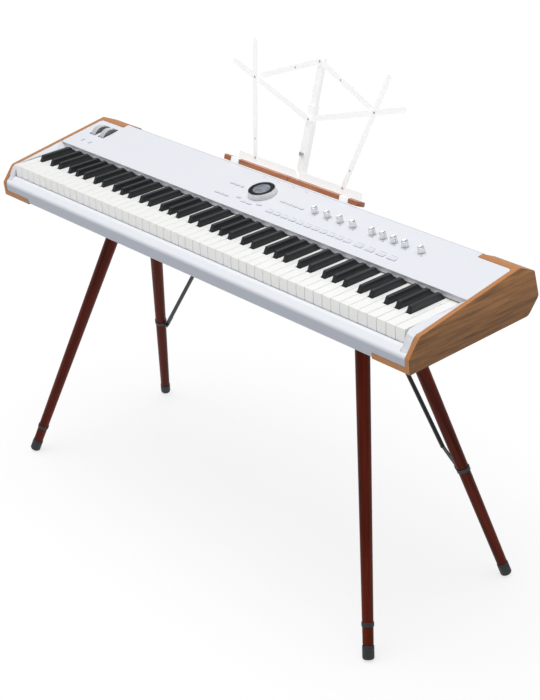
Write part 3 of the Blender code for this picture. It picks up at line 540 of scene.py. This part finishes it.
def build_keys():
    for kind, shape, material, group, bevel in (
            ("white", white_key, WHITE_KEY, "white_keys", 0.9),
            ("black", black_key, BLACK_KEY, "black_keys", 1.5)):
        stands = []
        for index in range(WHITE_COUNT):
            if kind == "black" and not has_black(index):
                continue
            body = SINGLES.get((kind, index), group)
            key = finish_mesh(f"{kind}_key_{index + 1:02d}", shape(index), material,
                              bevel=bevel, segments=3)
            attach(key, body)
            if body not in stands:
                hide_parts(body)
                stands.append(body)


# ---------------------------------------------------------------- case

def build_case():
    paint("top_panel", PANEL, 0.35)
    paint("front_rail", RAIL, 0.5)
    paint("key_block_left", PANEL, 1.2, 3)
    paint("key_block_right", PANEL, 1.2, 3)
    paint("bottom_case", CASE, 0.4)
    paint("rear_panel", CASE, 0.8)
    paint("keybed_frame", STEEL)
    paint("main_board", CIRCUIT)
    paint("key_felt", FELT)
    paint("cheek_left", WALNUT, 1.3, 3)
    paint("cheek_right", WALNUT, 1.3, 3)


# ---------------------------------------------------------------- controls

WHEELS = {"pitch_wheel": -588.0, "mod_wheel": -556.0}
WHEEL_Y, WHEEL_SINK, WHEEL_RADIUS, WHEEL_WIDTH = 222.0, 15.0, 25.0, 17.0
WHEEL_TEETH, TOOTH_DEPTH, SLOT_LENGTH, SLOT_WIDTH = 72, 0.5, 46.0, 22.0
DIAL, DIAL_R, DISC_R, DISPLAY_R, DIAL_HEIGHT = (-7.0, 214.5), 30.3, 27.8, 18.8, 12.0
GRIP_RIBS, GRIP_DEPTH = 110, 0.16
KNOB_Y, KNOB_R, SKIRT_R, KNOB_HEIGHT, KNOB_RIBS = 216.0, 7.0, 7.8, 13.0, 24
KNOBS = [151.0 + 36.4 * i for i in range(4)] + [314.0 + 29.4 * i for i in range(4)] + [444.5]
MENU = [(x, y, 12.0, 5.0) for y in (212.5, 169.5) for x in (-101.0, -86.0, -71.0)]
MENU += [(-40.0, 178.0, 12.0, 5.0), (-18.0, 170.5, 12.0, 5.0)]
MENU += [(0.0, 170.5, 12.0, 5.0), (23.0, 178.0, 12.0, 5.0)]
MENU += [(59.0 + 18.0 * i, 212.5, 14.0, 5.0) for i in range(4)]
PRESET = [(63.0 + 22.8 * i, 170.0, 17.0, 6.5) for i in range(11)]
PART = [(321.5 + 30.0 * i, 170.0, 21.0, 8.5) for i in range(4)]
OCTAVE = [(-586.0, 171.0), (-558.0, 171.0)]


def build_wheels():
    """Ribbed wheels in deep slots, each lined with a near-black collar of painted shade."""
    for name, x in WHEELS.items():
        outline = []
        for k in range(WHEEL_TEETH * 2):
            angle = math.tau * k / (WHEEL_TEETH * 2)
            radius = WHEEL_RADIUS - (TOOTH_DEPTH if k % 2 else 0.0)
            outline.append((radius * math.cos(angle), radius * math.sin(angle)))
        rim = prism(outline, "z", 0.8 - WHEEL_WIDTH / 2, WHEEL_WIDTH / 2 - 0.8)
        sides = bmesh.new()
        for side in (-1, 1):
            face = WHEEL_WIDTH / 2
            disc = turned([(0.0, face - 2.4), (WHEEL_RADIUS - 0.9, face - 0.82),
                           (WHEEL_RADIUS - 1.3, face - 0.1), (WHEEL_RADIUS - 3.5, face),
                           (0.0, face)], 72)
            merge(sides, moved(disc, Matrix.Diagonal((1.0, 1.0, float(side), 1.0))))
        place = panel_frame(x, WHEEL_Y, -WHEEL_SINK) @ Matrix.Rotation(math.pi / 2, 4, "Y")
        wheel = finish_mesh(name + "_ribbed", rim, WHEEL, place, angle=25.0)
        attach(wheel, name)
        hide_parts(name)
        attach(finish_mesh(name + "_sides", sides, WHEEL_SIDE, place, angle=25.0), name)
        # a near-black liner inside each slot: painted shade in the recess round the wheel
        outer = rounded_box(SLOT_WIDTH - 0.4, SLOT_LENGTH - 0.4, 1.5)
        inner = rounded_box(SLOT_WIDTH - 2.4, SLOT_LENGTH - 2.4, 1.0)
        bm = bmesh.new()
        rings = [[bm.verts.new((px, py, pz)) for px, py in ring]
                 for ring, pz in ((outer, -11.0), (outer, -0.6), (inner, -0.6), (inner, -11.0))]
        for low, high in zip(rings, rings[1:] + rings[:1]):
            for i in range(len(low)):
                j = (i + 1) % len(low)
                bm.faces.new((low[i], low[j], high[j], high[i]))
        collar = finish_mesh(name + "_slot_shade_liner", bm, SLOT_SHADE, panel_frame(x, WHEEL_Y))
        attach(collar, "case")


def ribbed(levels, ribs):
    """A turned shape about z whose levels are (radius, height, depth of the ribs)."""
    bm = bmesh.new()
    rings = []
    for radius, height, depth in levels:
        ring = []
        for k in range(2 * ribs):
            reach, angle = radius - depth * (k % 2), math.pi * k / ribs
            ring.append(bm.verts.new((reach * math.cos(angle), reach * math.sin(angle), height)))
        rings.append(ring)
    for low, high in zip(rings, rings[1:]):
        for i in range(2 * ribs):
            j = (i + 1) % (2 * ribs)
            bm.faces.new((low[i], low[j], high[j], high[i]))
    return bm, rings


def build_dial():
    """A turned ring with a fine grip round a glossy disc and its round display."""
    top, bore = DIAL_HEIGHT, DISC_R + 0.4
    levels = [(bore, 0.3, 0.0), (DIAL_R, 0.3, 0.0), (DIAL_R + 0.2, 1.2, 0.0),
              (DIAL_R - 0.2, 2.2, 0.0), (DIAL_R - 0.4, 2.7, GRIP_DEPTH),
              (DIAL_R - 1.0, top - 1.6, GRIP_DEPTH), (DIAL_R - 1.1, top - 1.0, 0.0),
              (DIAL_R - 1.5, top - 0.2, 0.0), (bore + 0.3, top, 0.0), (bore, top - 0.4, 0.0),
              (bore, 0.3, 0.0)]
    shape = ribbed(levels, GRIP_RIBS)[0]
    ring = finish_mesh("dial_grip_ring", shape, DIAL_RING, panel_frame(*DIAL))
    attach(ring, "dial_ring")
    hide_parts("dial_ring")
    base = turned([(DIAL_R + 0.1, 0.02), (DIAL_R + 1.0, 0.02), (DIAL_R + 1.0, 0.25),
                   (DIAL_R + 0.1, 0.25), (DIAL_R + 0.1, 0.02)], 72)
    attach(finish_mesh("dial_base_line", base, PRINT, panel_frame(*DIAL)), "case")
    disc = turned([(0.0, 2.4), (DISC_R - 0.3, 2.4), (DISC_R, 3.0), (DISC_R, top - 1.2),
                   (DISC_R - 0.7, top - 0.5), (DISPLAY_R + 0.4, top - 0.4),
                   (DISPLAY_R, top - 0.8), (0.0, top - 0.8)], 96)
    cap = finish_mesh("dial_disc", disc, GLOSS, panel_frame(*DIAL))
    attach(cap, "dial_screen")
    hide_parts("dial_screen")
    edge = DISPLAY_R - 0.2
    lens = turned([(0.0, top - 0.78), (edge, top - 0.78), (edge, top - 0.5), (edge * 0.7, top - 0.4),
                   (0.0, top - 0.35)], 72)
    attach(finish_mesh("dial_display", lens, DISPLAY, panel_frame(*DIAL)), "dial_screen")


def build_knobs():
    """Turned knobs with a skirt, a ribbed waist, a dished top and a pointer line."""
    top = KNOB_HEIGHT
    levels = [(SKIRT_R - 0.1, 0.3, 0.0), (SKIRT_R, 0.9, 0.0), (SKIRT_R - 0.3, 1.9, 0.0),
              (KNOB_R + 0.1, 2.5, 0.0), (KNOB_R, 3.2, 0.28), (KNOB_R - 0.4, top - 1.7, 0.28),
              (KNOB_R - 0.5, top - 0.9, 0.0), (KNOB_R - 0.9, top - 0.2, 0.0),
              (KNOB_R - 1.5, top, 0.0), (KNOB_R - 2.4, top - 0.5, 0.0)]
    for number, x in enumerate(KNOBS, 1):
        bm, rings = ribbed(levels, KNOB_RIBS)
        bm.faces.new(rings[0])
        bm.faces.new(rings[-1])
        node = f"knob_{number}"
        knob = finish_mesh(node + "_turned", bm, SILVER, panel_frame(x, KNOB_Y))
        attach(knob, node)
        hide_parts(node)
        line = finish_mesh(node + "_pointer", block((-0.4, 0.4), (1.5, 5.6), (top - 1.0, top + 0.1)),
                           DARK_METAL, panel_frame(x, KNOB_Y))
        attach(line, node)


def cap(name, outline, x, y, body, node, first, height=1.2):
    """A button cap standing a little out of the panel, with softened edges."""
    button = finish_mesh(name, prism(outline, "z", -5.0, height), BUTTON, panel_frame(x, y),
                         bevel=0.35, segments=2)
    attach(button, body)
    if first:
        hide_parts(node)


def build_buttons():
    for node, places in (("menu_buttons", MENU), ("preset_buttons", PRESET), ("part_buttons", PART)):
        for i, (x, y, width, length) in enumerate(places):
            cap(f"{node[:-8]}_button_{i + 1:02d}", rounded_box(width, length, 1.6), x, y, node, node,
                i == 0)
    for i, (x, y) in enumerate(OCTAVE):
        outline = [(4.4 * math.cos(math.tau * k / 32), 4.4 * math.sin(math.tau * k / 32))
                   for k in range(32)]
        cap(f"octave_button_{i + 1}", outline, x, y, "octave_buttons", "octave_buttons", i == 0)


def inlay(name, outline, x, y, height=0.12):
    """A mark on the panel: a thin slip let into its surface."""
    mark = finish_mesh(name, prism(outline, "z", -0.3, height), PRINT, panel_frame(x, y),
                       smooth=False)
    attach(mark, "case")


def arc_outline(radius, width, start, end, steps=8):
    angles = [math.radians(start + (end - start) * k / steps) for k in range(steps + 1)]
    outer = [((radius + width) * math.cos(a), (radius + width) * math.sin(a)) for a in angles]
    inner = [(radius * math.cos(a), radius * math.sin(a)) for a in reversed(angles)]
    return outer + inner


def build_marks():
    for i, (x, start, end) in enumerate(((-56.0, 60.0, 120.0), (-17.0, 50.0, 100.0),
                                         (32.0, 60.0, 120.0), (70.0, 50.0, 100.0))):
        inlay(f"dial_mark_{i + 1}", arc_outline(9.0, 1.0, start, end), x, 257.0)
    for number, x in enumerate(KNOBS, 1):
        for k, angle in enumerate((-150.0, -110.0, -70.0, -30.0)):
            inlay(f"knob_{number}_tick_{k + 1}", arc_outline(10.2, 0.9, angle - 3.0, angle + 3.0, 2),
                  x, KNOB_Y)
        ring = [(1.9 * math.cos(math.tau * k / 20), 1.9 * math.sin(math.tau * k / 20))
                for k in range(20)]
        inlay(f"knob_{number}_spot", ring, x + 8.5, KNOB_Y - 9.0)
    for group, places in (("preset", PRESET), ("part", PART)):
        for i, (x, y, width, length) in enumerate(places):
            bar_half = width / 2 - 1.0
            inlay(f"{group}_line_{i + 1:02d}", [(-bar_half, -0.4), (bar_half, -0.4),
                                                (bar_half, 0.4), (-bar_half, 0.4)],
                  x, y + length / 2 + 5.0)


# ---------------------------------------------------------------- stand

CASE_BOTTOM = -61.2
LEG_TOP_X, LEG_FOOT_X = 372.0, 572.0
LEG_Y = {"front": (127.0, -69.0), "rear": (198.0, 333.0)}
LEG_TOP_R, LEG_END_R = 15.6, 10.9
FOOT_R, FOOT_LENGTH, FOOT_END, FOOT_ROUND = 11.9, 30.0, 1.6, 5.0
COLLAR_Z, COLLAR_HALF = -635.0, 4.3
FLOOR = -KEY_HEIGHT


def leg_line(end, side):
    top_y, foot_y = LEG_Y[end]
    return (Vector((side * LEG_TOP_X, top_y, CASE_BOTTOM - 0.3)),
            Vector((side * LEG_FOOT_X, foot_y, FLOOR)))


def leg_radius(z):
    share = (CASE_BOTTOM - z) / (CASE_BOTTOM - FLOOR)
    return LEG_TOP_R + (LEG_END_R - LEG_TOP_R) * share


def level_cut(bm, frame_matrix, height, keep_below):
    """Trims a shape, given in a frame of its own, level at a height, and closes it."""
    inverse = frame_matrix.inverted()
    point = inverse @ Vector((*frame_matrix.translation.xy, height))
    normal = inverse.to_3x3() @ Vector((0.0, 0.0, 1.0 if keep_below else -1.0))
    cut = bmesh.ops.bisect_plane(bm, geom=bm.verts[:] + bm.edges[:] + bm.faces[:],
                                 plane_co=point, plane_no=normal, clear_outer=True)
    edges = [item for item in cut["geom_cut"] if isinstance(item, bmesh.types.BMEdge)]
    bmesh.ops.contextual_create(bm, geom=edges)
    return bm


def build_legs():
    for end in ("front", "rear"):
        for name, side in (("left", -1), ("right", 1)):
            top, floor = leg_line(end, side)
            place = axis_frame(top, floor)
            reach = (floor - top).length
            tip = reach - FOOT_LENGTH - 0.3
            label = f"{end}_{name}"
            shape = turned([(0.0, -20.0), (LEG_TOP_R, -20.0), (LEG_END_R, tip - 1.0),
                            (LEG_END_R - 1.0, tip), (0.0, tip)], 56)
            leg = finish_mesh("leg_turned_" + label, level_cut(shape, place, CASE_BOTTOM - 0.3, True),
                              MAHOGANY, place)
            start, end_at = reach - FOOT_LENGTH, reach - FOOT_END
            curve = [(FOOT_R - FOOT_ROUND * (1.0 - math.cos(math.radians(a))),
                      end_at - FOOT_ROUND * (1.0 - math.sin(math.radians(a))))
                     for a in range(0, 91, 15)]
            shape = turned([(0.0, start), (FOOT_R - 1.1, start), (FOOT_R - 0.3, start + 0.7),
                            (FOOT_R, start + 2.1), (FOOT_R, start + 4.7), (FOOT_R - 0.4, start + 5.2),
                            (FOOT_R, start + 5.7), *curve, (0.0, end_at)], 56)
            foot = finish_mesh("foot_boot_" + label, level_cut(shape, place, FLOOR, False),
                               RUBBER, place)
            for piece, node, slot in ((leg, "leg_" + label, "mahogany"),
                                      (foot, "foot_" + label, "rubber")):
                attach(piece, "case")
                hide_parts(node)
            shape = turned([(LEG_TOP_R + 0.2, -20.0), (LEG_TOP_R + 6.0, -20.0),
                            (LEG_TOP_R + 6.0, 1.5), (LEG_TOP_R + 3.6, 3.2),
                            (LEG_TOP_R + 3.2, 11.0), (LEG_TOP_R + 2.4, 12.0),
                            (LEG_TOP_R + 0.2, 12.0), (LEG_TOP_R + 0.2, -20.0)], 56)
            socket = finish_mesh("leg_socket_" + label,
                                 level_cut(shape, place, CASE_BOTTOM - 0.3, True), BLACK_METAL, place)
            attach(socket, "case")
            if end == "front":
                centre = top.lerp(floor, (top.z - COLLAR_Z) / (top.z - floor.z))
                r = leg_radius(COLLAR_Z) + 0.2
                h = COLLAR_HALF
                shape = turned([(r, -h), (r + 0.5, -h), (r + 0.9, 0.6 - h), (r + 0.9, h - 0.6),
                                (r + 0.5, h), (r, h), (r, -h)], 56)
                collar = finish_mesh("leg_collar_" + label, shape, RUBBER, axis_frame(centre, floor))
                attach(collar, "case")


def bolt(name, material, matrix, radius, height, body, slot_width=0.0):
    """A domed screw head with a shallow cross cut, on a surface facing the frame's z."""
    dome = [(0.0, 0.0), (radius, 0.0), (radius, height * 0.35), (radius * 0.86, height * 0.75),
            (radius * 0.5, height), (0.0, height * 0.98)]
    head = finish_mesh(name, turned(dome, 28), material, matrix)
    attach(head, body)
    if slot_width:
        for k, (w, h) in enumerate(((radius * 0.55, slot_width), (slot_width, radius * 0.55))):
            cut = finish_mesh(f"{name}_slot_{k + 1}", block((-w, w), (-h, h), (height * 0.8,
                              height * 1.03)), DARK_METAL, matrix, smooth=False)
            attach(cut, body)
    return head


CLAMP_Z, CLAMP_BORE, LUG_REACH, LUG_HALF, STRIP_THICK = -455.0, 0.4, 11.5, 1.4, 2.4


def clamp_frame():
    """The treble-side clamp's frame: out from the leg to the bass, down along the leg, forward."""
    top, floor = leg_line("rear", 1)
    centre = top.lerp(floor, (top.z - CLAMP_Z) / (top.z - floor.z))
    down = (floor - top).normalized()
    out = (Vector((-1.0, 0.0, 0.0)) + down * down.x).normalized()
    axes = Matrix((out, down, out.cross(down))).transposed().to_4x4()
    return Matrix.Translation(centre) @ axes


def build_braces():
    reach = leg_radius(CLAMP_Z) + CLAMP_BORE + LUG_REACH - 4.5
    flip = Matrix.Diagonal((-1.0, 1.0, 1.0, 1.0))
    for name, side in (("left", -1), ("right", 1)):
        paint(f"brace_{name}", BLACK_METAL, 0.3)
        paint(f"leg_clamp_{name}", BLACK_METAL, 0.3)
        for label, depth, turn in (("bolt", -LUG_HALF - 0.3 - STRIP_THICK, math.pi),
                                   ("nut", LUG_HALF, 0.0)):
            place = clamp_frame() @ Matrix.Translation((reach, 0.0, depth))
            place = place @ Matrix.Rotation(turn, 4, "X")
            if side < 0:
                place = flip @ place @ flip
            bolt(f"brace_{label}_{name}", BLACK_METAL, place, 3.4, 1.8, "case")


# ---------------------------------------------------------------- music desk

# Pivots of the desk's bars, as x and s on its face; n is how far a rivet's seat is out of it
CENTRE_S, CROWN_S, THUMBSCREW_S = 122.0, 243.0, 48.6
SIDE_JOINT, UPRIGHT_FOOT, UPRIGHT_MIDDLE = (181.0, 174.8), (135.5, 9.0), (146.0, 48.0)
ARM_MIDDLE = (67.5, 217.6)
UPRIGHT_FACE, DIAGONAL_FACE, ARM_FACES = 3.3, 1.7, {"left": -0.7, "right": -2.5}
RIVET_LARGE, RIVET_SMALL = 2.6, 2.0


def build_desk():
    for node in ("desk_bracket", "centre_bar_lower", "centre_bar_upper"):
        paint(node, DESK, 0.35)
    for part in ("arm", "diagonal", "upright"):
        for name in ("left", "right"):
            paint(f"desk_{part}_{name}", DESK, 0.35)
    for name in ("left", "right"):
        paint(f"desk_tray_{name}", TRAY, 0.35)
        paint(f"ledge_{name}", LEDGE, 1.2, 3)
    rivets = [("crown", (0.0, CROWN_S), ARM_FACES["left"], "arm_left", RIVET_LARGE)]
    for name, side in (("left", -1), ("right", 1)):
        for label, (x, s), radius in (("side", SIDE_JOINT, RIVET_LARGE),
                                      ("foot", UPRIGHT_FOOT, RIVET_LARGE),
                                      ("upright", UPRIGHT_MIDDLE, RIVET_SMALL)):
            rivets.append((f"{label}_{name}", (side * x, s), UPRIGHT_FACE, "upright_" + name, radius))
    rivets.append(("centre", (0.0, CENTRE_S), DIAGONAL_FACE, "diagonal_left", RIVET_LARGE))
    for name, side in (("left", -1), ("right", 1)):
        spot = (side * ARM_MIDDLE[0], ARM_MIDDLE[1])
        rivets.append(("arm_" + name, spot, ARM_FACES[name], "arm_" + name, RIVET_SMALL))
    for name, (x, s), n, body, radius in rivets:
        bolt("rivet_" + name, RIVET, desk_frame(x, s, n), radius, 1.2, body)
    screw = turned([(0.0, -2.2), (3.0, -2.2), (3.0, 1.0), (4.6, 1.4), (5.0, 2.0), (5.0, 4.6),
                    (4.5, 5.4), (0.0, 5.6)], 24)
    knob = finish_mesh("desk_thumbscrew", screw, RIVET, desk_frame(0.0, THUMBSCREW_S), angle=25.0)
    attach(knob, "desk_centre")


# ---------------------------------------------------------------- studio

FLOOR_HALF, FLOOR_DROP = 16.0, 0.0005       # metres
ZENITH, HORIZON = 1.3, 0.14
SUN_ENERGY, SUN_SPREAD, SUN_FROM = 1.42, 60.0, (-0.15, -0.12, 0.98)


def sky(zenith, horizon):
    """A soft studio dome, bright overhead and dim round the sides, in front of a white backdrop."""
    made = bpy.data.worlds.new("studio")
    made.use_nodes = True
    tree = made.node_tree
    coords = tree.nodes.new("ShaderNodeTexCoord")
    parts = tree.nodes.new("ShaderNodeSeparateXYZ")
    height = tree.nodes.new("ShaderNodeMath")
    height.operation = "POWER"
    height.use_clamp = True
    height.inputs[1].default_value = 2.0
    level = tree.nodes.new("ShaderNodeMapRange")
    level.inputs["To Min"].default_value = horizon
    level.inputs["To Max"].default_value = zenith
    tree.links.new(coords.outputs["Generated"], parts.inputs["Vector"])
    tree.links.new(parts.outputs["Z"], height.inputs[0])
    tree.links.new(height.outputs[0], level.inputs["Value"])
    path = tree.nodes.new("ShaderNodeLightPath")
    seen = tree.nodes.new("ShaderNodeMix")
    seen.inputs["B"].default_value = 1.0
    tree.links.new(path.outputs["Is Camera Ray"], seen.inputs["Factor"])
    tree.links.new(level.outputs["Result"], seen.inputs["A"])
    tree.links.new(seen.outputs["Result"], tree.nodes["Background"].inputs["Strength"])
    tree.nodes["Background"].inputs["Color"].default_value = (1.0, 1.0, 1.0, 1.0)
    return made


def build_studio():
    floor = bpy.data.meshes.new("floor")
    corners = [(x * FLOOR_HALF, y * FLOOR_HALF, 0.0) for x, y in ((-1, -1), (1, -1), (1, 1), (-1, 1))]
    floor.from_pydata(corners, [], [(0, 1, 2, 3)])
    pale = Nodes("studio floor", (0.25, 0.25, 0.25), 0.95, Specular_IOR_Level=0.0,
                 Emission_Color=(1.0, 1.0, 1.0, 1.0), Emission_Strength=0.72)
    floor.materials.append(pale.material)
    obj = bpy.data.objects.new("floor", floor)
    bpy.context.scene.collection.objects.link(obj)
    obj.location = (0.0, 0.0, -FLOOR_DROP)
    bpy.context.scene.world = sky(ZENITH, HORIZON)
    lamp = bpy.data.lights.new("soft light", "SUN")
    lamp.energy = SUN_ENERGY
    lamp.angle = math.radians(SUN_SPREAD)
    light = bpy.data.objects.new("soft light", lamp)
    light.rotation_euler = Vector(SUN_FROM).to_track_quat("Z", "Y").to_euler()
    bpy.context.scene.collection.objects.link(light)
    bpy.context.scene.view_settings.view_transform = "Standard"


place_camera()
build_keys()
build_case()
build_wheels()
build_dial()
build_knobs()
build_buttons()
build_marks()
build_legs()
build_braces()
build_desk()
build_studio()
